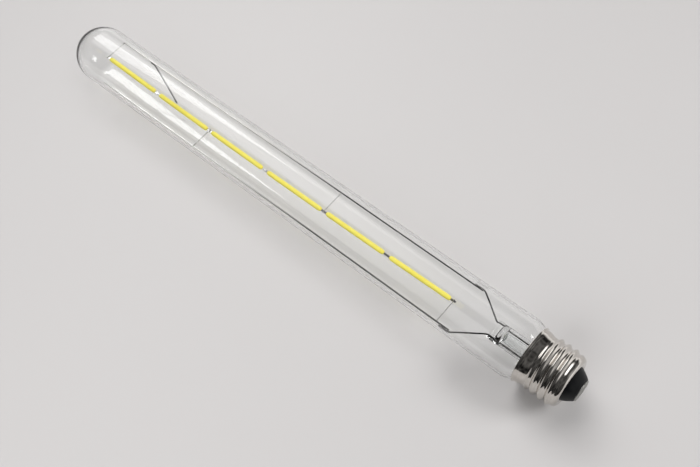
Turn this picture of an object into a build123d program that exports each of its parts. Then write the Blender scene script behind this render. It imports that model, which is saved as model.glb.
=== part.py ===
from build123d import *
import math
import os

# Clear filament tube lamp with a screw cap. It lies along X: the face of the centre contact is at
# x = 0, the closed dome of the glass is at +X, and the tube's axis is the X axis. Sizes in millimetres.

# Glass tube
overall_length = 305.5
tube_diameter = 28.6
tube_wall = 1.0
dome_wall = 2.2
shoulder_length = 8.6
shoulder_above_rim = 5.2
neck_below_rim = 7.7
neck_gap = 0.3

# Screw cap. The barrel is plain, at the thread's largest diameter
cap_height = 26.0
rim_diameter = 26.9
collar_depth = 5.5
collar_mouth_depth = 2.9
thread_major_diameter = 26.3
thread_minor_diameter = 24.2
thread_runout = 0.9
corner_height = 2.4
corner_inset = 2.1
end_hole_diameter = 17.0
end_wall = 1.2
cap_sheet = 0.3

# Black glass insulator in the end of the cap, and the centre contact riveted through it
insulator_height = 5.05
insulator_flange_diameter = 20.0
insulator_flange_thickness = 1.0
insulator_clearance = 0.05
insulator_margin = 0.3
contact_diameter = 10.0
contact_flat_diameter = 9.2
contact_thickness = 0.45
contact_edge = 0.2
contact_floor = 0.3
rivet_diameter = 3.1
rivet_bore = 1.9
rivet_length = 4.1

# Glass stem, fused into the tube's neck: flared foot, round tube, flat press and the exhaust tube inside it
stem_diameter = 9.4
stem_wall = 0.8
flare_length = 9.2
flare_lip = 0.9
stem_cavity_above_rim = 12.6
press_top_above_rim = 18.7
press_flat_length = 3.2
press_taper_length = 2.5
press_thickness = 4.6
exhaust_diameter = 4.6
exhaust_bore = 3.2
exhaust_port = 1.6
exhaust_tip = 1.8
exhaust_gap = 1.4

# Wires. The mount's plane is rolled a little about the tube's axis
wire_diameter = 0.7
wire_sides = 12
wire_clearance = 0.02
wire_to_glass = 0.23
lead_spacing = 6.8
lead_exit = 0.4
lead_end_gap = 0.05
upper_bend_above_rim = 32.3
upper_weld_length = 5.0
lower_bend_above_rim = 32.5
lower_weld_length = 5.4
weld_start = 0.4
upper_wire_below_dome = 17.0
lower_wire_below_dome = 27.5
mount_roll = 7.0

# Light strips: a chain of metal carriers, each with a phosphor coat
strip_count = 6
chain_above_rim = 39.7
chain_below_dome = 17.3
chain_bow = 1.0
carrier_width = 0.9
carrier_thickness = 0.2
carrier_lap = 2.0
coat_width = 2.3
coat_height = 1.9
coat_edge = 0.55
coat_gap = 3.2
coat_clearance = 0.02
link_width = 0.36
link_thickness = 0.3

# Spring wire that steadies the upper side wire against the glass
spring_below_dome = 37.5
spring_weld_length = 2.8
spring_run = 35.0
spring_foot_gap = 0.1
spring_foot_angle = 74.0

# Driver inside the cap
board_length = 17.0
board_width = 11.0
board_thickness = 1.0
board_above_insulator = 2.6
solder_gap = 0.02
capacitor_diameter = 5.0
capacitor_length = 8.0
capacitor_offset = 6.6
chip_offset = 5.5
rectifier_size = (4.7, 3.9, 1.6)
driver_chip_size = (4.9, 3.9, 1.5)
strap_width = 2.0
strap_thickness = 0.2
strap_on_board = 1.2

# Places along the axis
rim_x = cap_height
waist_x = rim_x - collar_depth
barrel_top_x = waist_x - thread_runout
shell_end_x = insulator_height
barrel_low_x = shell_end_x + corner_height
shell_floor_x = shell_end_x + end_wall
mouth_x = rim_x - collar_mouth_depth
seal_x = rim_x - neck_below_rim
shoulder_top_x = rim_x + shoulder_above_rim
shoulder_low_x = shoulder_top_x - shoulder_length
flare_top_x = seal_x + flare_length
cavity_end_x = rim_x + stem_cavity_above_rim
press_top_x = rim_x + press_top_above_rim
press_flat_x = press_top_x - press_flat_length
press_start_x = press_flat_x - press_taper_length
flange_x = shell_floor_x + insulator_clearance
insulator_top_x = flange_x + insulator_flange_thickness
board_x = insulator_top_x + board_above_insulator
board_top_x = board_x + board_thickness
exhaust_end_x = board_top_x + exhaust_gap
chain_far_x = overall_length - chain_below_dome
chain_near_x = rim_x + chain_above_rim
strip_pitch = (chain_far_x - chain_near_x) / strip_count

# Radii and reaches
tube_radius = tube_diameter / 2
tube_inner_radius = tube_radius - tube_wall
rim_radius = rim_diameter / 2
root_radius = thread_minor_diameter / 2
crest_radius = thread_major_diameter / 2
shell_inner_radius = root_radius - cap_sheet
neck_radius = shell_inner_radius - neck_gap
end_hole_radius = end_hole_diameter / 2
contact_radius = contact_diameter / 2
rivet_radius = rivet_diameter / 2
rivet_hole_radius = rivet_radius + insulator_clearance
stem_radius = stem_diameter / 2
stem_inner_radius = stem_radius - stem_wall
exhaust_radius = exhaust_diameter / 2
exhaust_inner_radius = exhaust_bore / 2
wire_radius = wire_diameter / 2
lead_reach = tube_inner_radius - wire_to_glass - wire_radius
side_reach = lead_reach - wire_diameter - wire_clearance
spring_reach = side_reach - wire_diameter - wire_clearance
lead_offset = lead_spacing / 2

# The mount's plane holds the wires: x along the tube, y across to the lower side wire, z to the viewer.
# Its section plane stands on edge: x along the tube, y to the viewer.
roll = math.radians(mount_roll)
across_dir = Vector(0, math.cos(roll), -math.sin(roll))
outward_dir = Vector(0, math.sin(roll), math.cos(roll))
mount_plane = Plane((0, 0, 0), x_dir=(1, 0, 0), z_dir=outward_dir)
section_plane = Plane((0, 0, 0), x_dir=(1, 0, 0), z_dir=-across_dir)

os.makedirs("parts", exist_ok=True)


def across_plane(x):
    """The plane square to the tube at x, with its own x across the mount and its y towards the viewer."""
    return Plane((x, 0, 0), x_dir=across_dir, z_dir=(1, 0, 0))


def save(part, name):
    part.label = name
    export_step(part, f"parts/{name}.step")


def make_wire(name, points):
    """A thin many-sided wire through points in the mount's plane, bent sharply at each inner point."""
    with BuildPart() as wire:
        with BuildLine(mount_plane) as path:
            Polyline(*points)
        with BuildSketch(Plane(path.line @ 0, z_dir=path.line % 0)):
            RegularPolygon(wire_radius, wire_sides)
        sweep(path=path.line, transition=Transition.RIGHT)
    save(wire.part, name)


# Glass: the tube, its neck and the stem fused into it are one revolved section. The press is cut flat after
with BuildPart() as glass_envelope:
    with BuildSketch(Plane.XY):
        with BuildLine():
            dome_start = (overall_length - tube_radius, tube_radius)
            inner_dome_start = (overall_length - dome_wall - tube_inner_radius, tube_inner_radius)
            TangentArc(dome_start, (overall_length, 0), tangent=(1, 0))
            Polyline(
                dome_start,
                (shoulder_top_x, tube_radius),
                (shoulder_low_x, neck_radius),
                (seal_x - flare_lip, neck_radius),
                (seal_x - flare_lip, neck_radius - tube_wall),
                (flare_top_x - flare_lip, stem_inner_radius),
                (cavity_end_x, stem_inner_radius),
                (cavity_end_x, exhaust_radius),
                (exhaust_end_x, exhaust_radius),
                (exhaust_end_x, 0),
                (exhaust_end_x + exhaust_tip, 0),
                (exhaust_end_x + exhaust_tip, exhaust_inner_radius),
                (cavity_end_x, exhaust_inner_radius),
                (cavity_end_x, exhaust_port / 2),
                (press_top_x, exhaust_port / 2),
                (press_top_x, stem_radius),
                (flare_top_x, stem_radius),
                (seal_x, neck_radius - tube_wall),
                (shoulder_low_x, neck_radius - tube_wall),
                (shoulder_top_x, tube_inner_radius),
                inner_dome_start,
            )
            TangentArc(inner_dome_start, (overall_length - dome_wall, 0), tangent=(1, 0))
            Line((overall_length - dome_wall, 0), (overall_length, 0))
        make_face()
    revolve(axis=Axis.X)
    with BuildSketch(section_plane):
        with BuildLine():
            Polyline(
                (press_start_x, stem_radius),
                (press_flat_x, press_thickness / 2),
                (press_top_x, press_thickness / 2),
                (press_top_x, stem_radius),
                close=True,
            )
        make_face()
        mirror(about=Plane.XZ)
    extrude(amount=stem_radius, both=True, mode=Mode.SUBTRACT)
    with BuildSketch(across_plane(press_top_x)):
        with Locations((-lead_offset, 0), (lead_offset, 0)):
            Circle(wire_radius + wire_clearance)
    extrude(amount=cavity_end_x - press_top_x, mode=Mode.SUBTRACT)
save(glass_envelope.part, "glass_envelope")


# Screw shell: collar from the rim down to the waist, barrel, corner and the end wall with its hole
with BuildPart() as screw_shell:
    with BuildSketch(Plane.XY):
        with BuildLine():
            Polyline(
                (rim_x, rim_radius),
                (waist_x, root_radius),
                (barrel_top_x, crest_radius),
                (barrel_low_x, crest_radius),
                (shell_end_x, crest_radius - corner_inset),
                (shell_end_x, end_hole_radius),
                (shell_floor_x, end_hole_radius),
                (shell_floor_x, shell_inner_radius),
                (mouth_x, shell_inner_radius),
                (rim_x, rim_radius - cap_sheet),
                close=True,
            )
        make_face()
    revolve(axis=Axis.X)
save(screw_shell.part, "screw_shell")


# Insulator: a cone outside the cap, a flange behind the cap's end wall, and a hole for the rivet
with BuildPart() as cap_insulator:
    with BuildSketch(Plane.XY):
        with BuildLine():
            Polyline(
                (contact_thickness, rivet_hole_radius),
                (contact_thickness, contact_radius + insulator_margin),
                (flange_x, end_hole_radius - insulator_clearance),
                (flange_x, insulator_flange_diameter / 2),
                (insulator_top_x, insulator_flange_diameter / 2),
                (insulator_top_x, rivet_hole_radius),
                close=True,
            )
        make_face()
    revolve(axis=Axis.X)
save(cap_insulator.part, "cap_insulator")


# Centre contact: a bevelled disc with a hollow rivet behind it
with BuildPart() as centre_contact:
    with BuildSketch(Plane.XY):
        with BuildLine():
            Polyline(
                (0, 0),
                (0, contact_flat_diameter / 2),
                (contact_edge, contact_radius),
                (contact_thickness, contact_radius),
                (contact_thickness, rivet_radius),
                (contact_thickness + rivet_length, rivet_radius),
                (contact_thickness + rivet_length, rivet_bore / 2),
                (contact_floor, rivet_bore / 2),
                (contact_floor, 0),
                close=True,
            )
        make_face()
    revolve(axis=Axis.X)
save(centre_contact.part, "centre_contact")


# Lead wires: up through the press, out to the glass, then along the side wire that is welded to each
lead_low_x = board_top_x + lead_end_gap
lead_exit_x = press_top_x + lead_exit
for side, name, bend_above_rim, weld_length, wire_below_dome in (
    (-1, "upper", upper_bend_above_rim, upper_weld_length, upper_wire_below_dome),
    (1, "lower", lower_bend_above_rim, lower_weld_length, lower_wire_below_dome),
):
    bend_x = rim_x + bend_above_rim
    make_wire(
        f"{name}_lead_wire",
        [
            (lead_low_x, side * lead_offset),
            (lead_exit_x, side * lead_offset),
            (bend_x, side * lead_reach),
            (bend_x + weld_length, side * lead_reach),
        ],
    )
    make_wire(
        f"{name}_side_wire",
        [
            (bend_x + weld_start, side * side_reach),
            (overall_length - wire_below_dome, side * side_reach),
        ],
    )


# Spring wire: welded beside the upper side wire, it runs across to a foot on the glass
spring_x = overall_length - spring_below_dome
spring_bend_x = spring_x - spring_weld_length
foot_reach = tube_inner_radius - spring_foot_gap - wire_radius
foot_angle = math.radians(spring_foot_angle)
make_wire(
    "support_spring",
    [
        (spring_x, -spring_reach, 0),
        (spring_bend_x, -spring_reach, 0),
        (spring_bend_x - spring_run, foot_reach * math.cos(foot_angle), foot_reach * math.sin(foot_angle)),
    ],
)


def joint_point(joint):
    """Where the chain's joint lies in the mount's plane, counted from the dome. The chain bows sideways."""
    share = 2 * joint / strip_count - 1
    return Vector(chain_far_x - strip_pitch * joint, chain_bow * (1 - share**2))


# Light strips: the carriers lie by turns above and below the mount's plane, so that their ends lap
for number in range(strip_count):
    layer = carrier_thickness / 2 if number % 2 == 0 else -carrier_thickness / 2
    far_joint = mount_plane.from_local_coords(joint_point(number))
    near_joint = mount_plane.from_local_coords(joint_point(number + 1))
    along_dir = (near_joint - far_joint).normalized()
    middle = (far_joint + near_joint) / 2 + outward_dir * layer
    strip_plane = Plane(middle, x_dir=outward_dir.cross(along_dir), z_dir=along_dir)

    with BuildPart() as filament_carrier:
        with BuildSketch(strip_plane):
            Rectangle(carrier_width, carrier_thickness)
        extrude(amount=(strip_pitch + carrier_lap) / 2, both=True)
    save(filament_carrier.part, f"filament_carrier_{number + 1}")

    with BuildPart() as filament_coat:
        with BuildSketch(strip_plane) as coat_section:
            Rectangle(coat_width, coat_height)
            chamfer(coat_section.vertices(), coat_edge)
            Rectangle(
                carrier_width + 2 * coat_clearance,
                carrier_thickness + 2 * coat_clearance,
                mode=Mode.SUBTRACT,
            )
        extrude(amount=(strip_pitch - coat_gap) / 2, both=True)
    save(filament_coat.part, f"filament_coat_{number + 1}")


# Links: every second joint of the chain is tied to a side wire, upper and lower by turns
for number in range(strip_count // 2 + 1):
    joint = joint_point(2 * number)
    side = -1 if number % 2 == 0 else 1
    tab_top = carrier_thickness if 2 * number < strip_count else 0
    link_start = joint.Y - side * carrier_width / 2
    link_end = side * (side_reach - wire_radius - wire_clearance)
    with BuildPart() as link_wire:
        with BuildSketch(mount_plane.offset(tab_top)):
            with Locations((joint.X, (link_start + link_end) / 2)):
                Rectangle(link_width, abs(link_end - link_start))
        extrude(amount=link_thickness)
    save(link_wire.part, f"link_wire_{number + 1}")


# Driver board, carried on the ends of the lead wires
with BuildPart() as driver_board:
    with BuildSketch(across_plane(board_x)):
        Rectangle(board_length, board_width)
    extrude(amount=board_thickness)
save(driver_board.part, "driver_board")


# Smoothing capacitor, lying on the board's glass side
with BuildPart() as smoothing_capacitor:
    with BuildSketch(section_plane.offset(-capacitor_offset).rotated((90, 0, 0))):
        with Locations((board_top_x + solder_gap + capacitor_diameter / 2, 0)):
            Circle(capacitor_diameter / 2)
    extrude(amount=capacitor_length / 2, both=True)
save(smoothing_capacitor.part, "smoothing_capacitor")


# Rectifier and driver chip, on the board's contact side
for name, offset, size in (
    ("bridge_rectifier", -chip_offset, rectifier_size),
    ("driver_chip", chip_offset, driver_chip_size),
):
    length, width, height = size
    with BuildPart() as chip:
        with BuildSketch(across_plane(board_x)):
            with Locations((offset, 0)):
                Rectangle(length, width)
        extrude(amount=-height)
    save(chip.part, name)


# Centre lead wire: stands in the contact's hollow rivet and ties it to the board
make_wire("centre_lead_wire", [(contact_floor + solder_gap, 0), (board_x - solder_gap, 0)])


# Shell strap: ties the board to the screw shell
strap_low = board_length / 2 - strap_on_board
strap_high = math.sqrt(shell_inner_radius**2 - (strap_width / 2) ** 2) - solder_gap
with BuildPart() as shell_strap:
    with BuildSketch(across_plane(board_top_x)):
        with Locations((-(strap_low + strap_high) / 2, 0)):
            Rectangle(strap_high - strap_low, strap_width)
    extrude(amount=strap_thickness)
save(shell_strap.part, "shell_strap")
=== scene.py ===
import math

import bmesh
import bpy
import numpy as np
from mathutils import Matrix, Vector


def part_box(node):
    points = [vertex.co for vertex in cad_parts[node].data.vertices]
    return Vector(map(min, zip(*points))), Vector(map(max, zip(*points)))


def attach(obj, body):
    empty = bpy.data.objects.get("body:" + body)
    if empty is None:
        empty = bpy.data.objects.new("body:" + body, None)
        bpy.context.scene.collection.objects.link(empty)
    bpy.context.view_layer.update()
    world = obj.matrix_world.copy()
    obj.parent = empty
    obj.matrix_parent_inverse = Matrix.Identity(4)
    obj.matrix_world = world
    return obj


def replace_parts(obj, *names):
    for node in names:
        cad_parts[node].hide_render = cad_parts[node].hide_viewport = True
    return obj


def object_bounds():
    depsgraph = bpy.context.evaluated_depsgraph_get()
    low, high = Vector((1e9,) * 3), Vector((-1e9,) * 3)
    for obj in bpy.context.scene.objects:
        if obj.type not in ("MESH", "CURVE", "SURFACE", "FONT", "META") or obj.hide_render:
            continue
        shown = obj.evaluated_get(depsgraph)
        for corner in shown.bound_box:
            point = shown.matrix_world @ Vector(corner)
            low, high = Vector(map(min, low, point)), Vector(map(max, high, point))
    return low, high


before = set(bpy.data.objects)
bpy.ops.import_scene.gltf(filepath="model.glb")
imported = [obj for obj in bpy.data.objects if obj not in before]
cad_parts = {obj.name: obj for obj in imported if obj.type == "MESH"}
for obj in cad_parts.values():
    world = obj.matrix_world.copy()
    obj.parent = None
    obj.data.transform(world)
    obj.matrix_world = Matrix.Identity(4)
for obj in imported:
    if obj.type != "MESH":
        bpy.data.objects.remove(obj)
cad_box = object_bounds()

MM = 0.001
ALONG = Vector((1, 0, 0))

# Where the photograph was taken from, in the lamp's own frame, and the lens
CAMERA_PLACE = Vector((-46.7, 199.7, 378.2)) * MM
CAMERA_TARGET = Vector((122.9, 2.4, 0.0)) * MM
CAMERA_LENS = 52.19
CAMERA_SENSOR = 36.0
CAMERA_CLIP_START = 10 * MM

# Glass tube. These sizes lie inside the solids, so their boxes don't tell them
TUBE_WALL = 1.0 * MM
DOME_WALL = 1.55 * MM
SHOULDER_TOP = 31.2 * MM
SHOULDER_LOW = 22.6 * MM
NECK_RADIUS = 11.5 * MM
SEAL = 18.3 * MM

# Glass stem. The press starts and is flat so far beyond the cavity's end, and its own end is rounded
STEM_RADIUS = 4.7 * MM
STEM_WALL = 0.8 * MM
FLARE_TOP = 27.5 * MM
FLARE_CURVE = 2.2
CAVITY_END = 38.6 * MM
CAVITY_CORNER = 0.5 * MM
PRESS_START = 0.6 * MM
PRESS_FLAT = 3.2 * MM
PRESS_TOP = 44.7 * MM
PRESS_THICKNESS = 4.6 * MM
PRESS_SPREAD = 0.04
PRESS_SQUARENESS = 0.5
PRESS_ROUNDING = 1.0 * MM
PRESS_END_WIDTH = 0.9
PRESS_END_THICKNESS = 0.45

# Exhaust tube inside the stem, and a near-black ring of painted shade at its melted-shut end
EXHAUST_RADIUS = 2.3 * MM
EXHAUST_TIP_RADIUS = 1.4 * MM
EXHAUST_GAP = 0.1 * MM
SHADE_RING_INSET = 0.5 * MM
SHADE_RING_DEPTH = 0.25 * MM
SHADE_RING_RADIUS = 0.24 * MM

# Outlines that are closed on the axis start or end at a hole too small to see
PIN_HOLE = 0.05 * MM
DOME_TIP_ANGLE = 0.5

# Screw cap, from its rim to its end. The rim's steps go down from the rim and in from its radius
SHELL_SHEET = 0.3 * MM
LIP_DEPTH = 3.0 * MM
LIP_TAPER = 0.7 * MM
LIP_EDGE = 0.2 * MM
RIM_STEPS = ((0.5 * MM, 0.05 * MM), (0.9 * MM, 0.4 * MM))
COLLAR_DROP = 1.4 * MM
COLLAR_INSET = 0.55 * MM
CORNER_RADIUS = 2.1 * MM
END_HOLE_RADIUS = 8.5 * MM
END_HOLE_RETURN = 1.2 * MM

# Screw thread, right-hand, which fades out at both ends
THREAD_PITCH = 25.4 / 7 * MM
THREAD_ROOT = 12.1 * MM
THREAD_DEPTH = 1.05 * MM
THREAD_TOP = 20.5 * MM
THREAD_LOW = 7.45 * MM
THREAD_TOP_FADE = 1.5 * MM
THREAD_LOW_START = 1.2 * MM
THREAD_LOW_FADE = 1.8 * MM
# Where a crest passes the upper outline in the photograph: along the lamp, and round it from +y to +z
THREAD_CREST = 18.0 * MM
THREAD_CREST_ANGLE = math.radians(152)

# Insulator and contact
INSULATOR_HOLE = 1.6 * MM
INSULATOR_DISH = 0.02 * MM
INSULATOR_EDGE = 0.3 * MM
INSULATOR_BULGE = 0.22 * MM
INSULATOR_SEAT = 0.6 * MM
INSULATOR_CLEARANCE = 0.05 * MM
CONTACT_CENTRE = 0.02 * MM
CONTACT_DISH = ((0.1 * MM, CONTACT_CENTRE), (0.08 * MM, 2.0 * MM))
CONTACT_FLAT = 1.0 * MM
CONTACT_EDGE = 0.2 * MM
RIVET_RADIUS = 1.55 * MM
RIVET_BORE = 0.95 * MM

# The bend of a wire takes no more than this share of the shorter leg
BEND_SHARE = 1 / 2.2

# Wires and their welds, which are given as half sizes along the bead, across it and out of it
LEAD_OFFSET = 3.4 * MM
LEAD_EXIT = 0.4 * MM
LEAD_TO_SIDE_WIRE = 0.72 * MM
LEAD_BEND_RADIUS = 4.0 * MM
WELD_START = 0.4 * MM
LEAD_WELD_NEAR = 1.0 * MM
LEAD_WELD_FAR = 0.6 * MM
LEAD_WELD_SIZE = (0.55 * MM, 0.42 * MM, 0.4 * MM)
SPRING_WELD = 2.8 * MM
SPRING_BEND_RADIUS = 1.2 * MM
SPRING_CLEARANCE = 0.02 * MM
LINK_RADIUS = 0.18 * MM
LINK_WELD_SIZE = (0.4 * MM, 0.36 * MM, 0.3 * MM)

# Light strips: the coat's section, its rounded end as distances with shares of the section, and the
# heights and lengths of the waves on its skin
COAT_WIDTH = 2.3 * MM
COAT_HEIGHT = 1.9 * MM
COAT_SQUARENESS = 0.8
COAT_END = ((0.0, 0.4), (0.12 * MM, 0.6), (0.4 * MM, 0.76), (0.9 * MM, 0.92), (1.6 * MM, 1.0))
COAT_WAVES = ((0.02, 1.7 * MM), (0.012, 0.61 * MM))

# Where along the lamp the painted reflection on the side wires and tabs starts to brighten from dark,
# and where it is fully bright
WIRE_FADE = (140 * MM, 218 * MM)
TAB_FADE = (110 * MM, 420 * MM)


# Mesh helpers


def add_piece(name, vertices, faces, material):
    """Makes a smooth-shaded mesh that rides on the lamp's one body."""
    mesh = bpy.data.meshes.new(name)
    mesh.from_pydata([tuple(v) for v in vertices], [], faces)
    shape = bmesh.new()
    shape.from_mesh(mesh)
    bmesh.ops.recalc_face_normals(shape, faces=shape.faces)
    shape.to_mesh(mesh)
    shape.free()
    mesh.shade_smooth()
    mesh.materials.append(material)
    piece = bpy.data.objects.new(name, mesh)
    bpy.context.scene.collection.objects.link(piece)
    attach(piece, "root")
    return piece


def let_light_through(piece):
    """Keeps clear glass from shading what is behind it."""
    piece.visible_shadow = False
    piece.visible_diffuse = False
    return piece


def grid_faces(rows, columns, closed_rows=False):
    """Quads over a grid of points whose columns run round a loop."""
    faces = []
    for i in range(rows if closed_rows else rows - 1):
        for j in range(columns):
            a, b = i * columns, ((i + 1) % rows) * columns
            k = (j + 1) % columns
            faces.append((a + j, a + k, b + k, b + j))
    return faces


def row_face(row, columns):
    """The face that closes a grid over one of its rows."""
    return tuple(range(row * columns, (row + 1) * columns))


def closed_faces(rows, columns):
    """A grid's quads and the faces that close its two ends."""
    return grid_faces(rows, columns) + [row_face(0, columns), row_face(rows - 1, columns)]


def lathe(profile, segments):
    """Turns an outline of (x, radius) points about the X axis."""
    angles = np.linspace(0, 2 * math.pi, segments, endpoint=False)
    rows = [[(x, r * math.cos(a), r * math.sin(a)) for a in angles] for x, r in profile]
    return np.array(rows).reshape(-1, 3)


def arc(centre_x, centre_r, radius, start, end, steps):
    """Points on a round stretch of an outline, with angles in degrees from +x towards larger radii."""
    angles = np.radians(np.linspace(start, end, steps))
    return [(centre_x + radius * math.cos(a), centre_r + radius * math.sin(a)) for a in angles]


def ease(start, end, value):
    """Goes smoothly from 0 to 1 as value goes from start to end."""
    share = np.clip((value - start) / (end - start), 0, 1)
    return share * share * (3 - 2 * share)


def blend(start, end, share):
    """The value at a share of the way from start to end."""
    return start + (end - start) * share


def blunt(value, power):
    """A sine or cosine to a power with its sign kept, which squares off a round section."""
    return math.copysign(abs(value) ** power, value)


def curve_between(start, end, steps):
    """An S-shaped stretch of an outline from one point to another."""
    shares = np.linspace(0, 1, steps)
    return [(blend(start[0], end[0], s), blend(start[1], end[1], ease(0, 1, s))) for s in shares]


def rounded_path(corners, radius, steps=10):
    """The line through the corner points, with each inner corner bent to a radius."""
    path = [corners[0]]
    for before, corner, after in zip(corners, corners[1:], corners[2:]):
        into, away = before - corner, after - corner
        longest = min(into.length, away.length) * BEND_SHARE
        reach = min(radius / math.tan(into.angle(away) / 2), longest)
        first, last = corner + into.normalized() * reach, corner + away.normalized() * reach
        for s in np.linspace(0, 1, steps):
            path.append(first.lerp(corner, s).lerp(corner.lerp(last, s), s))
    path.append(corners[-1])
    return path


def straight_path(start, end, steps):
    """Points from one end to the other."""
    return [start.lerp(end, s) for s in np.linspace(0, 1, steps)]


def wire_mesh(path, radius, sides=20):
    """A round wire along a path, with rounded ends."""
    befores, afters = path[:1] + path[:-1], path[1:] + path[-1:]
    tangents = [(after - before).normalized() for before, after in zip(befores, afters)]
    normal = tangents[0].orthogonal().normalized()
    rings = []
    for point, tangent in zip(path, tangents):
        normal = (normal - tangent * normal.dot(tangent)).normalized()
        rings.append((point, tangent, normal, tangent.cross(normal)))
    # Share of the radius, and how far in from the end, also in radii
    rounding = ((0.25, 0.05), (0.75, 0.15), (1.0, 0.5))
    stations = [(rings[0], size, shift) for size, shift in rounding]
    stations += [(ring, 1.0, 0.0) for ring in rings[1:-1]]
    stations += [(rings[-1], size, -shift) for size, shift in reversed(rounding)]
    vertices = []
    for (point, tangent, normal, side), size, shift in stations:
        for a in np.linspace(0, 2 * math.pi, sides, endpoint=False):
            spoke = normal * math.cos(a) + side * math.sin(a)
            vertices.append(point + tangent * shift * radius + spoke * radius * size)
    return vertices, closed_faces(len(stations), sides)


def bead_mesh(centre, along, across, size):
    """A small rounded bead with its half sizes along, across and out."""
    out = along.cross(across)
    vertices = []
    rows, columns = 9, 14
    for i in range(rows):
        polar = math.pi * (i + 0.5) / rows
        for j in range(columns):
            turn = 2 * math.pi * j / columns
            spoke = across * math.cos(turn) * size[1] + out * math.sin(turn) * size[2]
            vertices.append(centre + along * math.cos(polar) * size[0] + spoke * math.sin(polar))
    return vertices, closed_faces(rows, columns)


def node_ends(name):
    """The centres of a long solid's two ends, along its longest side."""
    points = np.array([v.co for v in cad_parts[name].data.vertices])
    axis = int(np.argmax(points.max(0) - points.min(0)))
    low, high = points[:, axis].min(), points[:, axis].max()
    margin = (high - low) * 0.02
    near = points[points[:, axis] < low + margin].mean(0)
    far = points[points[:, axis] > high - margin].mean(0)
    return Vector(near), Vector(far)


# Materials

# The noise lies mostly between these values. A surface's grain is so many times finer than its tone
NOISE_RANGE = (0.3, 0.7)
TONE_DETAIL = 5.0
GRAIN_DETAIL = 3.0
WAVE_DETAIL = 2.0
METAL_GRAIN = 6
PLAIN_GRAIN = 8
DRAWN = (0.2, 1, 1)
DRAWN_SCALE = 900


def new_material(name):
    """A new material, its node tree and its shader."""
    material = bpy.data.materials.new(name)
    material.use_nodes = True
    shader = material.node_tree.nodes["Principled BSDF"]
    return material, material.node_tree, shader


def add_noise(tree, scale, detail, stretch=(1, 1, 1)):
    """A noise texture in the object's own coordinates, with its scale per metre."""
    nodes, links = tree.nodes, tree.links
    place = nodes.new("ShaderNodeTexCoord")
    mapping = nodes.new("ShaderNodeMapping")
    mapping.inputs["Scale"].default_value = stretch
    noise = nodes.new("ShaderNodeTexNoise")
    noise.inputs["Scale"].default_value = scale
    noise.inputs["Detail"].default_value = detail
    links.new(place.outputs["Object"], mapping.inputs["Vector"])
    links.new(mapping.outputs["Vector"], noise.inputs["Vector"])
    return noise


def ramp_to(tree, noise, socket, values):
    """Spreads a noise between two values on a shader's socket."""
    spread = tree.nodes.new("ShaderNodeMapRange")
    spread.inputs["From Min"].default_value, spread.inputs["From Max"].default_value = NOISE_RANGE
    spread.inputs["To Min"].default_value, spread.inputs["To Max"].default_value = values
    tree.links.new(noise.outputs["Fac"], spread.inputs["Value"])
    tree.links.new(spread.outputs["Result"], socket)


def colour_to(tree, value, socket, colours, places=NOISE_RANGE):
    """Spreads a value between two colours on a shader's socket."""
    ramp = tree.nodes.new("ShaderNodeValToRGB")
    for element, place, colour in zip(ramp.color_ramp.elements, places, colours):
        element.position = place
        element.color = (*colour, 1)
    tree.links.new(value, ramp.inputs["Fac"])
    tree.links.new(ramp.outputs["Color"], socket)


def bump_to(tree, noise, shader, distance, strength=1.0):
    """Uses a noise as a small relief."""
    bump = tree.nodes.new("ShaderNodeBump")
    bump.inputs["Strength"].default_value = strength
    bump.inputs["Distance"].default_value = distance
    tree.links.new(noise.outputs["Fac"], bump.inputs["Height"])
    tree.links.new(bump.outputs["Normal"], shader.inputs["Normal"])


def glass_material():
    """Clear glass with the faint waviness of a drawn tube."""
    material, tree, shader = new_material("clear_glass")
    shader.inputs["Base Color"].default_value = (0.985, 0.99, 0.988, 1)
    shader.inputs["Roughness"].default_value = 0.0
    shader.inputs["IOR"].default_value = 1.47
    shader.inputs["Transmission Weight"].default_value = 1.0
    waves = add_noise(tree, 160, WAVE_DETAIL, stretch=(0.06, 1, 1))
    bump_to(tree, waves, shader, 0.02 * MM, 0.006)
    return material


def thin_glass_material():
    """The exhaust tube's thin glass, clear in the middle and denser towards its outline."""
    material, tree, shader = new_material("thin_glass")
    shader.inputs["Base Color"].default_value = (0.75, 0.78, 0.77, 1)
    shader.inputs["Roughness"].default_value = 0.05
    facing = tree.nodes.new("ShaderNodeLayerWeight")
    facing.inputs["Blend"].default_value = 0.35
    waves = add_noise(tree, 300, WAVE_DETAIL, stretch=(0.1, 1, 1))
    bump_to(tree, waves, shader, 0.01 * MM, 0.3)
    cover = tree.nodes.new("ShaderNodeMapRange")
    cover.inputs["To Min"].default_value = 0.03
    cover.inputs["To Max"].default_value = 0.6
    tree.links.new(facing.outputs["Facing"], cover.inputs["Value"])
    tree.links.new(cover.outputs["Result"], shader.inputs["Alpha"])
    return material


def metal_material(name, colours, roughness, scale, relief, stretch=(1, 1, 1), edge=1.0):
    """Bare metal whose colour, gloss and relief vary a little."""
    material, tree, shader = new_material(name)
    shader.inputs["Metallic"].default_value = 1.0
    shader.inputs["Specular Tint"].default_value = (edge, edge, edge, 1)
    tone = add_noise(tree, scale, TONE_DETAIL, stretch)
    colour_to(tree, tone.outputs["Fac"], shader.inputs["Base Color"], colours)
    ramp_to(tree, tone, shader.inputs["Roughness"], roughness)
    grain = add_noise(tree, scale * METAL_GRAIN, GRAIN_DETAIL, stretch)
    bump_to(tree, grain, shader, relief)
    return material


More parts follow.
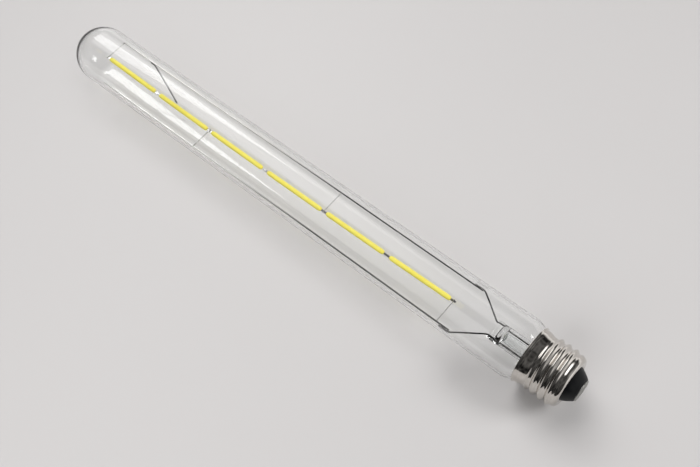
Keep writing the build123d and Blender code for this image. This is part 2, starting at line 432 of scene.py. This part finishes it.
def metal_with_painted_reflection(name, fade, patches):
    """Drawn metal with random streaks and a painted reflection: dark on the cap's side, brightening
    towards the dome.
    """
    black, bright = (0.008, 0.0078, 0.0076), (0.9, 0.89, 0.87)
    material, tree, shader = new_material(name)
    shader.inputs["Metallic"].default_value = 1.0
    streaks = add_noise(tree, DRAWN_SCALE, TONE_DETAIL, DRAWN)
    place = tree.nodes.new("ShaderNodeTexCoord")
    parts = tree.nodes.new("ShaderNodeSeparateXYZ")
    tree.links.new(place.outputs["Object"], parts.inputs["Vector"])
    # Painted reflection: the colour brightens along the lamp, from near black at the cap to bright
    # metal towards the dome
    painted_gradient = tree.nodes.new("ShaderNodeMapRange")
    painted_gradient.inputs["From Min"].default_value, painted_gradient.inputs["From Max"].default_value = fade
    tree.links.new(parts.outputs["X"], painted_gradient.inputs["Value"])
    streaks_and_gradient = tree.nodes.new("ShaderNodeMath")
    streaks_and_gradient.operation = "MULTIPLY_ADD"
    streaks_and_gradient.inputs[1].default_value = patches
    tree.links.new(streaks.outputs["Fac"], streaks_and_gradient.inputs[0])
    tree.links.new(painted_gradient.outputs["Result"], streaks_and_gradient.inputs[2])
    colour_to(tree, streaks_and_gradient.outputs["Value"], shader.inputs["Base Color"], (black, bright), (0.06, 1))
    ramp_to(tree, streaks, shader.inputs["Roughness"], (0.28, 0.42))
    grain = add_noise(tree, DRAWN_SCALE * METAL_GRAIN, GRAIN_DETAIL, DRAWN)
    bump_to(tree, grain, shader, 0.006 * MM)
    return material


def plain_material(name, colours, roughness, scale, relief, gloss=0.5):
    """Plastic, glaze or paint whose colour, gloss and relief vary a little."""
    material, tree, shader = new_material(name)
    tone = add_noise(tree, scale, TONE_DETAIL)
    colour_to(tree, tone.outputs["Fac"], shader.inputs["Base Color"], colours)
    ramp_to(tree, tone, shader.inputs["Roughness"], roughness)
    shader.inputs["Specular IOR Level"].default_value = gloss
    grain = add_noise(tree, scale * PLAIN_GRAIN, GRAIN_DETAIL)
    bump_to(tree, grain, shader, relief)
    return material


def phosphor_material():
    """Yellow phosphor with a painted glow: a faint emission that brightens it whatever the lamps do.
    """
    colours = ((0.98, 0.85, 0.1), (1.0, 0.92, 0.17))
    material = plain_material("phosphor", colours, (0.45, 0.65), scale=500, relief=0.04 * MM)
    shader = material.node_tree.nodes["Principled BSDF"]
    # Painted glow, which lifts the strips' brightness
    shader.inputs["Emission Color"].default_value = (1.0, 0.87, 0.12, 1)
    shader.inputs["Emission Strength"].default_value = 0.05
    return material


clear_glass = glass_material()
thin_glass = thin_glass_material()
nickel = metal_material(
    "nickel",
    colours=((0.62, 0.59, 0.55), (0.72, 0.69, 0.65)),
    roughness=(0.05, 0.13),
    scale=400,
    relief=0.004 * MM,
    stretch=(4, 1, 1),
)
contact_metal = metal_material(
    "contact_metal",
    colours=((0.42, 0.42, 0.4), (0.6, 0.6, 0.57)),
    roughness=(0.3, 0.45),
    scale=700,
    relief=0.03 * MM,
    edge=0.6,
)
dark_wire = metal_material(
    "dark_wire",
    colours=((0.016, 0.015, 0.014), (0.06, 0.057, 0.054)),
    roughness=(0.22, 0.4),
    scale=DRAWN_SCALE,
    relief=0.006 * MM,
    stretch=DRAWN,
)
# The side wires carry a painted reflection, dark at the cap and bright towards the dome
drawn_wire_painted_sheen = metal_with_painted_reflection("drawn_wire_painted_sheen", WIRE_FADE, patches=0.16)
link_metal = metal_material(
    "link_metal",
    colours=((0.2, 0.2, 0.19), (0.42, 0.41, 0.4)),
    roughness=(0.25, 0.45),
    scale=900,
    relief=0.01 * MM,
)
# The tabs carry the same painted reflection along the lamp
tab_metal_painted_sheen = metal_with_painted_reflection("tab_metal_painted_sheen", TAB_FADE, patches=0.3)
black_glass = plain_material(
    "black_glass",
    colours=((0.006, 0.006, 0.007), (0.014, 0.015, 0.015)),
    roughness=(0.36, 0.5),
    scale=300,
    relief=0.01 * MM,
    gloss=0.2,
)
phosphor = phosphor_material()
# Near-black glass for the ring of painted shade in the stem
shade_ring_glass = plain_material(
    "shade_ring_glass",
    colours=((0.01, 0.012, 0.01), (0.04, 0.045, 0.04)),
    roughness=(0.1, 0.25),
    scale=600,
    relief=0.01 * MM,
)
board_green = plain_material(
    "board_green",
    colours=((0.02, 0.12, 0.05), (0.04, 0.18, 0.08)),
    roughness=(0.35, 0.5),
    scale=600,
    relief=0.02 * MM,
)
black_plastic = plain_material(
    "black_plastic",
    colours=((0.015, 0.015, 0.016), (0.03, 0.03, 0.032)),
    roughness=(0.35, 0.55),
    scale=900,
    relief=0.02 * MM,
)
table_paint = plain_material(
    "table_top",
    colours=((0.63, 0.615, 0.612), (0.66, 0.645, 0.642)),
    roughness=(0.3, 0.36),
    scale=3,
    relief=0.0,
)


# Glass tube and stem

glass_low, glass_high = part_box("glass_envelope")
tube_radius = glass_high.z
tube_end = glass_high.x
inner_radius = tube_radius - TUBE_WALL

# The plane of the wires, from the two side wires: across it, and out of it towards the viewer
upper_near, upper_far = node_ends("upper_side_wire")
lower_near, lower_far = node_ends("lower_side_wire")
span = lower_near - upper_near
across = Vector((0, span.y, span.z)).normalized()
out = ALONG.cross(across)
side_reach = Vector((0, lower_near.y, lower_near.z)).length
wire_radius = (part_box("upper_side_wire")[1].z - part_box("upper_side_wire")[0].z) / 2


def at(x, side, rise=0.0):
    """A point at x along the lamp, so far across the plane of the wires and so far out of it."""
    return Vector((x, 0, 0)) + across * side + out * rise


def make_glass_tube():
    """The tube with its dome, shoulder and neck, outside and inside."""
    dome_centre = tube_end - tube_radius
    dome_depth = tube_radius - DOME_WALL
    neck_inside = NECK_RADIUS - TUBE_WALL
    outside = arc(dome_centre, 0, tube_radius, DOME_TIP_ANGLE, 90, steps=40)
    outside += [(x, tube_radius) for x in np.linspace(dome_centre, SHOULDER_TOP, 40)[1:]]
    outside += curve_between((SHOULDER_TOP, tube_radius), (SHOULDER_LOW, NECK_RADIUS), steps=16)[1:]
    outside.append((SEAL, NECK_RADIUS))
    inside = [(SEAL, neck_inside)]
    inside += curve_between((SHOULDER_LOW, neck_inside), (SHOULDER_TOP, inner_radius), steps=16)
    inside += [(x, inner_radius) for x in np.linspace(SHOULDER_TOP, dome_centre, 40)[1:-1]]
    for a in np.radians(np.linspace(90, DOME_TIP_ANGLE, 40)):
        inside.append((dome_centre + dome_depth * math.cos(a), inner_radius * math.sin(a)))
    profile = outside + inside
    segments = 144
    faces = closed_faces(len(profile), segments)
    return add_piece("glass_tube", lathe(profile, segments), faces, clear_glass)


def flare_radius(x, wide, narrow):
    """The stem's radius at x, from its wide foot to where the flare has run out."""
    share = 1 - (x - SEAL) / (FLARE_TOP - SEAL)
    return narrow + (wide - narrow) * max(share, 0) ** FLARE_CURVE


def stem_section(x, segments):
    """The points round the stem at x: a circle that the press flattens towards the end."""
    radius = flare_radius(x, NECK_RADIUS - TUBE_WALL, STEM_RADIUS)
    pressed = ease(CAVITY_END + PRESS_START, CAVITY_END + PRESS_FLAT, x)
    end = ease(PRESS_TOP, PRESS_TOP - PRESS_ROUNDING, x) ** 0.5
    width = radius * (1 + PRESS_SPREAD * pressed) * blend(PRESS_END_WIDTH, 1, end)
    thick = blend(radius, PRESS_THICKNESS / 2, pressed) * blend(PRESS_END_THICKNESS, 1, end)
    power = 2 / (2 + PRESS_SQUARENESS * pressed)
    points = []
    for a in np.linspace(0, 2 * math.pi, segments, endpoint=False):
        points.append(at(x, width * blunt(math.cos(a), power), thick * blunt(math.sin(a), power)))
    return points


def make_glass_stem():
    """The stem's flare, tube and press, with its cavity."""
    segments = 96
    foot = list(np.linspace(SEAL, FLARE_TOP, 20))
    stations = foot + list(np.linspace(FLARE_TOP, PRESS_TOP, 60)[1:])
    vertices = []
    for x in stations:
        vertices += stem_section(x, segments)
    faces = grid_faces(len(stations), segments)
    faces.append(row_face(len(stations) - 1, segments))
    cavity_radius = STEM_RADIUS - STEM_WALL
    corner_radius = cavity_radius - CAVITY_CORNER
    cavity = [(x, flare_radius(x, NECK_RADIUS - 2 * TUBE_WALL, cavity_radius)) for x in foot]
    cavity += arc(CAVITY_END - CAVITY_CORNER, corner_radius, CAVITY_CORNER, 90, 0, steps=8)
    cavity.append((CAVITY_END, PIN_HOLE))
    base = len(vertices)
    vertices += list(lathe(cavity, segments))
    inner_faces = grid_faces(len(cavity), segments) + [row_face(len(cavity) - 1, segments)]
    faces += [tuple(base + i for i in reversed(face)) for face in inner_faces]
    for j in range(segments):
        k = (j + 1) % segments
        faces.append((j, base + j, base + k, k))
    return add_piece("glass_stem", vertices, faces, clear_glass)


def make_exhaust_tube():
    """The exhaust tube that stands inside the stem."""
    low, high = glass_low.x, CAVITY_END - EXHAUST_GAP
    tip = EXHAUST_TIP_RADIUS
    profile = [(low, PIN_HOLE)] + arc(low + tip, EXHAUST_RADIUS - tip, tip, 180, 90, steps=8)
    profile += [(high, EXHAUST_RADIUS), (high, PIN_HOLE)]
    segments = 48
    faces = closed_faces(len(profile), segments)
    return add_piece("exhaust_tube", lathe(profile, segments), faces, thin_glass)


def make_exhaust_shade_ring():
    """A near-black ring at the exhaust tube's melted-shut bore under the press: a painted shade line
    for the dark edge that the stem's glass shows there.
    """
    centre_x, centre_r = CAVITY_END - SHADE_RING_DEPTH, EXHAUST_RADIUS - SHADE_RING_INSET
    profile = arc(centre_x, centre_r, SHADE_RING_RADIUS, 0, 360, steps=13)[:-1]
    segments = 64
    faces = grid_faces(len(profile), segments, closed_rows=True)
    return add_piece("stem_shade_ring", lathe(profile, segments), faces, shade_ring_glass)


for make_glass in (make_glass_tube, make_glass_stem, make_exhaust_tube):
    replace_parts(let_light_through(make_glass()), "glass_envelope")
make_exhaust_shade_ring()


# Screw cap

shell_low, shell_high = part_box("screw_shell")
rim_x, rim_radius = shell_high.x, shell_high.z
shell_end = shell_low.x


def thread_height(x, angle):
    """How far the thread stands out from its root at x, and at an angle round the lamp."""
    fade = ease(THREAD_TOP, THREAD_TOP - THREAD_TOP_FADE, x)
    fade *= ease(shell_end + THREAD_LOW_START, THREAD_LOW + THREAD_LOW_FADE, x)
    turn = 2 * math.pi * (x - THREAD_CREST) / THREAD_PITCH - (angle - THREAD_CREST_ANGLE)
    return THREAD_DEPTH * fade * (0.5 + 0.5 * math.cos(turn))


def make_screw_shell():
    """The shell with its rolled rim, collar, thread, corner and end."""
    half_sheet = SHELL_SHEET / 2
    inner = rim_radius - SHELL_SHEET
    outline = [(rim_x - LIP_DEPTH, inner - LIP_TAPER), (rim_x - LIP_EDGE, inner)]
    outline += arc(rim_x - half_sheet, inner + half_sheet, half_sheet, -60, 90, steps=8)
    outline += [(rim_x - drop, rim_radius - inset) for drop, inset in RIM_STEPS]
    collar = (rim_x - COLLAR_DROP, rim_radius - COLLAR_INSET)
    outline += curve_between(collar, (THREAD_TOP, THREAD_ROOT), steps=30)
    outline += [(x, THREAD_ROOT) for x in np.linspace(THREAD_TOP, THREAD_LOW, 130)[1:]]
    corner = CORNER_RADIUS
    outline += arc(shell_end + corner, THREAD_ROOT - corner, corner, 90, 180, steps=16)
    outline += [(shell_end, END_HOLE_RADIUS), (shell_end + END_HOLE_RETURN, END_HOLE_RADIUS)]
    segments = 192
    vertices = []
    for x, root in outline:
        for a in np.linspace(0, 2 * math.pi, segments, endpoint=False):
            radius = root + thread_height(x, a)
            vertices.append((x, radius * math.cos(a), radius * math.sin(a)))
    faces = grid_faces(len(outline), segments)
    return add_piece("screw_shell_threaded", vertices, faces, nickel)


def make_insulator():
    """The black glass cone, slightly bulged, with soft edges."""
    low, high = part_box("cap_insulator")
    nose = low.x
    nose_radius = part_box("centre_contact")[1].z + INSULATOR_EDGE
    throat = END_HOLE_RADIUS - INSULATOR_CLEARANCE
    flat = nose_radius - INSULATOR_EDGE
    outline = [(nose + INSULATOR_DISH, INSULATOR_HOLE), (nose, flat)]
    outline += arc(nose + INSULATOR_EDGE, flat, INSULATOR_EDGE, 180, 120, steps=5)
    for share in np.linspace(0.06, 1, 14):
        bulge = INSULATOR_BULGE * math.sin(math.pi * share)
        x = blend(nose, shell_end + INSULATOR_SEAT, share)
        outline.append((x, blend(nose_radius, throat, share) + bulge))
    outline += [(high.x, throat), (high.x, INSULATOR_HOLE)]
    segments = 128
    faces = grid_faces(len(outline), segments, closed_rows=True)
    return add_piece("insulator_cone", lathe(outline, segments), faces, black_glass)


def make_contact():
    """The contact's disc, slightly dished, with a rolled edge, and its hollow rivet."""
    low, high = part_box("centre_contact")
    radius = high.z
    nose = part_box("cap_insulator")[0].x
    outline = [(low.x + depth, reach) for depth, reach in CONTACT_DISH]
    outline.append((low.x, radius - CONTACT_FLAT))
    outline += arc(low.x + CONTACT_EDGE, radius - CONTACT_EDGE, CONTACT_EDGE, 180, 90, steps=8)
    outline += [(nose, radius), (nose, RIVET_RADIUS)]
    outline += [(high.x, RIVET_RADIUS), (high.x, RIVET_BORE)]
    segments = 96
    faces = grid_faces(len(outline), segments) + [row_face(0, segments)]
    return add_piece("contact_disc", lathe(outline, segments), faces, contact_metal)


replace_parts(make_screw_shell(), "screw_shell")
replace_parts(make_insulator(), "cap_insulator")
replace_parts(make_contact(), "centre_contact")


# Wires

lead_reach = side_reach + LEAD_TO_SIDE_WIRE


def make_side(name, side, near, far):
    """A lead wire, the side wire that it is welded to, and the two welds."""
    lead = f"{name}_lead_wire"
    lead_low, lead_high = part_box(lead)
    corners = [
        at(lead_low.x, side * LEAD_OFFSET),
        at(PRESS_TOP + LEAD_EXIT, side * LEAD_OFFSET),
        at(near.x - WELD_START, side * lead_reach),
        at(lead_high.x, side * lead_reach),
    ]
    vertices, faces = wire_mesh(rounded_path(corners, LEAD_BEND_RADIUS), wire_radius)
    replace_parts(add_piece(f"{lead}_bent", vertices, faces, dark_wire), lead)
    wire = f"{name}_side_wire"
    vertices, faces = wire_mesh(straight_path(near, far, steps=24), wire_radius)
    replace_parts(add_piece(f"{wire}_drawn", vertices, faces, drawn_wire_painted_sheen), wire)
    middle = side * (side_reach + lead_reach) / 2
    for spot, x in enumerate((near.x + LEAD_WELD_NEAR, lead_high.x - LEAD_WELD_FAR)):
        vertices, faces = bead_mesh(at(x, middle), ALONG, across, LEAD_WELD_SIZE)
        add_piece(f"{name}_weld_{spot + 1}", vertices, faces, link_metal)


def make_spring():
    """The spring wire: welded along the upper side wire, then across to its foot on the glass."""
    near, far = node_ends("support_spring")
    reach = side_reach - 2 * wire_radius - SPRING_CLEARANCE
    corners = [far, at(far.x - SPRING_WELD, -reach), near]
    vertices, faces = wire_mesh(rounded_path(corners, SPRING_BEND_RADIUS), wire_radius)
    return add_piece("support_spring_bent", vertices, faces, dark_wire)


make_side("upper", -1, upper_near, upper_far)
make_side("lower", 1, lower_near, lower_far)
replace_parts(make_spring(), "support_spring")


# Light strips


def make_coat(name):
    """A phosphor coat: an oval bar with rounded ends and a slightly uneven skin."""
    near, far = node_ends(name)
    length = (far - near).length
    along = (far - near).normalized()
    side = across - along * across.dot(along)
    end_length = COAT_END[-1][0]
    stations = list(COAT_END)
    stations += [(s, 1.0) for s in np.linspace(end_length, length - end_length, 60)[1:-1]]
    stations += [(length - s, size) for s, size in reversed(COAT_END)]
    columns = 28
    vertices = []
    for distance, size in stations:
        skin = 1 + sum(height * math.sin(distance / wave) for height, wave in COAT_WAVES)
        size *= min(skin, 1.0)
        for a in np.linspace(0, 2 * math.pi, columns, endpoint=False):
            spoke = side * (COAT_WIDTH / 2) * blunt(math.cos(a), COAT_SQUARENESS)
            spoke += out * (COAT_HEIGHT / 2) * blunt(math.sin(a), COAT_SQUARENESS)
            vertices.append(near + along * distance + spoke * size)
    faces = closed_faces(len(stations), columns)
    return add_piece(name.replace("coat", "strip"), vertices, faces, phosphor)


def make_link(name):
    """A thin cross wire, with a weld at both ends."""
    near, far = node_ends(name)
    vertices, faces = wire_mesh(straight_path(near, far, steps=10), LINK_RADIUS, sides=14)
    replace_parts(add_piece(f"{name}_drawn", vertices, faces, link_metal), name)
    for spot, point in enumerate((near, far)):
        vertices, faces = bead_mesh(point, across, ALONG, LINK_WELD_SIZE)
        add_piece(f"{name}_weld_{spot + 1}", vertices, faces, link_metal)


for name in sorted(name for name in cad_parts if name.startswith("filament_coat")):
    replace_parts(make_coat(name), name)
for name in sorted(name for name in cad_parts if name.startswith("link_wire")):
    make_link(name)


# Solids that stay as they are get their own finish


def dress(name, material):
    """Gives a solid its material."""
    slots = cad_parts[name].data.materials
    slots.clear()
    slots.append(material)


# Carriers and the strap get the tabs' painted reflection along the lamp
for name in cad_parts:
    if name.startswith("filament_carrier") or name == "shell_strap":
        dress(name, tab_metal_painted_sheen)
dress("centre_lead_wire", dark_wire)
dress("driver_board", board_green)
for name in ("smoothing_capacitor", "bridge_rectifier", "driver_chip"):
    dress(name, black_plastic)


# Floor, light and camera

# The table's front edge lies just outside the picture, this far from the point below the camera
TABLE_FRONT = 135 * MM
TABLE_SIZE = 8.0

# Softboxes: name, place, target, width and height in metres, and power in watts
SOFTBOXES = (
    ("window", (1.1, -0.42, 1.0), (0.15, 0.0, 0.0), (0.8, 0.4), 4.6),
    ("side", (-0.95, -0.8, 0.9), (0.1, 0.0, 0.0), (0.6, 0.45), 11.6),
    ("fill", (-0.1, 1.2, 0.75), (0.15, 0.0, 0.0), (1.2, 0.8), 8.8),
)

# The room by direction: x along the lamp, y towards the viewer, z up. A pair says where a patch
# starts and where it is full
ROOM_COLOUR = (1.0, 0.985, 0.975, 1)
ROOM_LEVEL = 0.07
ROOM_MOTTLE_SCALE = 2.2
ROOM_MOTTLE = (0.3, 0.75)
BEHIND = (0.35, -0.1)
ENDS_LEVEL = 0.35
ENDS_ALONG = (0.5, 0.8)
ENDS_UP = (0.02, 0.15)
BAND_LEVEL = 0.9
BAND_UP = (0.35, 0.12)
BAND_ALONG = (1.0, 0.8)
OVERHEAD_LEVEL = 2.4
OVERHEAD_FRONT = (0.3, 0.12)
OVERHEAD_BACK = (-0.78, -0.5)
OVERHEAD_UP = (0.2, 0.4)
OVERHEAD_CAP_SIDE = (0.0, 0.45)
OVERHEAD_DOME_SIDE = (0.8, 0.5)


def make_floor():
    """A pale glossy table top under the lamp, and the floor that goes on from it towards the viewer.

    The metal doesn't mirror the second one, because the photographed table ends there.
    """
    look = CAMERA_TARGET - CAMERA_PLACE
    look = Vector((look.x, look.y, 0)).normalized()
    side = Vector((look.y, -look.x, 0)) * TABLE_SIZE
    front = Vector((CAMERA_PLACE.x, CAMERA_PLACE.y, cad_box[0][2])) + look * TABLE_FRONT
    for name, end in (("table_top", look * TABLE_SIZE), ("table_front", -look * TABLE_SIZE)):
        mesh = bpy.data.meshes.new(name)
        corners = [front + side, front + end + side, front + end - side, front - side]
        mesh.from_pydata(corners, [], [(0, 1, 2, 3)])
        mesh.materials.append(table_paint)
        floor = bpy.data.objects.new(name, mesh)
        bpy.context.scene.collection.objects.link(floor)
        if name == "table_front":
            floor.visible_glossy = False
            floor.visible_diffuse = False
            floor.visible_shadow = False


def turn_to(thing, place, target):
    """Puts a lamp or camera at a place, looking at a target, and adds it to the scene."""
    thing.location = place
    thing.rotation_euler = (Vector(target) - Vector(place)).to_track_quat("-Z", "Y").to_euler()
    bpy.context.scene.collection.objects.link(thing)


def add_softbox(name, place, target, size, power):
    """A rectangular soft light. Glass and metal mirror the room instead of it."""
    light = bpy.data.lights.new(name, "AREA")
    light.shape = "RECTANGLE"
    light.size, light.size_y = size
    light.energy = power
    softbox = bpy.data.objects.new(name, light)
    turn_to(softbox, place, target)
    softbox.visible_glossy = False
    # The fill stands on the viewer's side, where bent rays in the glass would show it
    softbox.visible_transmission = name != "fill"


def make_camera():
    """The camera at the photograph's place."""
    camera = bpy.data.cameras.new("camera")
    camera.sensor_width = CAMERA_SENSOR
    camera.sensor_fit = "HORIZONTAL"
    camera.lens = CAMERA_LENS
    camera.clip_start = CAMERA_CLIP_START
    body = bpy.data.objects.new("camera", camera)
    turn_to(body, CAMERA_PLACE, CAMERA_TARGET)
    bpy.context.scene.camera = body


def make_room():
    """A dim, mottled room with a bright patch overhead.

    Behind the lamp it is bright towards both ends, with a pale band along the horizon.
    """
    world = bpy.data.worlds.new("room")
    world.use_nodes = True
    nodes, links = world.node_tree.nodes, world.node_tree.links
    direction = nodes.new("ShaderNodeTexCoord").outputs["Generated"]
    parts = nodes.new("ShaderNodeSeparateXYZ")
    links.new(direction, parts.inputs["Vector"])

    def smooth(socket, limits):
        """Goes smoothly from 0 at the first limit to 1 at the second."""
        step = nodes.new("ShaderNodeMapRange")
        step.interpolation_type = "SMOOTHSTEP"
        step.inputs["From Min"].default_value, step.inputs["From Max"].default_value = limits
        links.new(socket, step.inputs["Value"])
        return step.outputs["Result"]

    def combine(operation, *values):
        """A sum, product or other result of numbers and sockets."""
        node = nodes.new("ShaderNodeMath")
        node.operation = operation
        for socket, value in zip(node.inputs, values):
            if isinstance(value, (int, float)):
                socket.default_value = value
            else:
                links.new(value, socket)
        return node.outputs["Value"]

    def patch(level, *shares):
        """A patch of a level, faded by each share."""
        result = level
        for share in shares:
            result = combine("MULTIPLY", share, result)
        return result

    x, y, z = parts.outputs
    mottle = nodes.new("ShaderNodeTexNoise")
    mottle.inputs["Scale"].default_value = ROOM_MOTTLE_SCALE
    links.new(direction, mottle.inputs["Vector"])
    room = patch(2 * ROOM_LEVEL, smooth(mottle.outputs["Fac"], ROOM_MOTTLE))
    ends = patch(ENDS_LEVEL, smooth(combine("ABSOLUTE", x), ENDS_ALONG), smooth(z, ENDS_UP))
    band = patch(BAND_LEVEL, smooth(z, BAND_UP), smooth(x, BAND_ALONG))
    behind = combine("MULTIPLY", combine("ADD", ends, band), smooth(y, BEHIND))
    overhead = patch(
        OVERHEAD_LEVEL,
        smooth(y, OVERHEAD_FRONT),
        smooth(y, OVERHEAD_BACK),
        smooth(z, OVERHEAD_UP),
        smooth(x, OVERHEAD_CAP_SIDE),
        smooth(x, OVERHEAD_DOME_SIDE),
    )
    level = combine("ADD", overhead, combine("ADD", behind, room))
    links.new(level, nodes["Background"].inputs["Strength"])
    nodes["Background"].inputs["Color"].default_value = ROOM_COLOUR
    bpy.context.scene.world = world


make_floor()
for softbox in SOFTBOXES:
    add_softbox(*softbox)
make_camera()
make_room()
bpy.context.scene.view_settings.view_transform = "Standard"
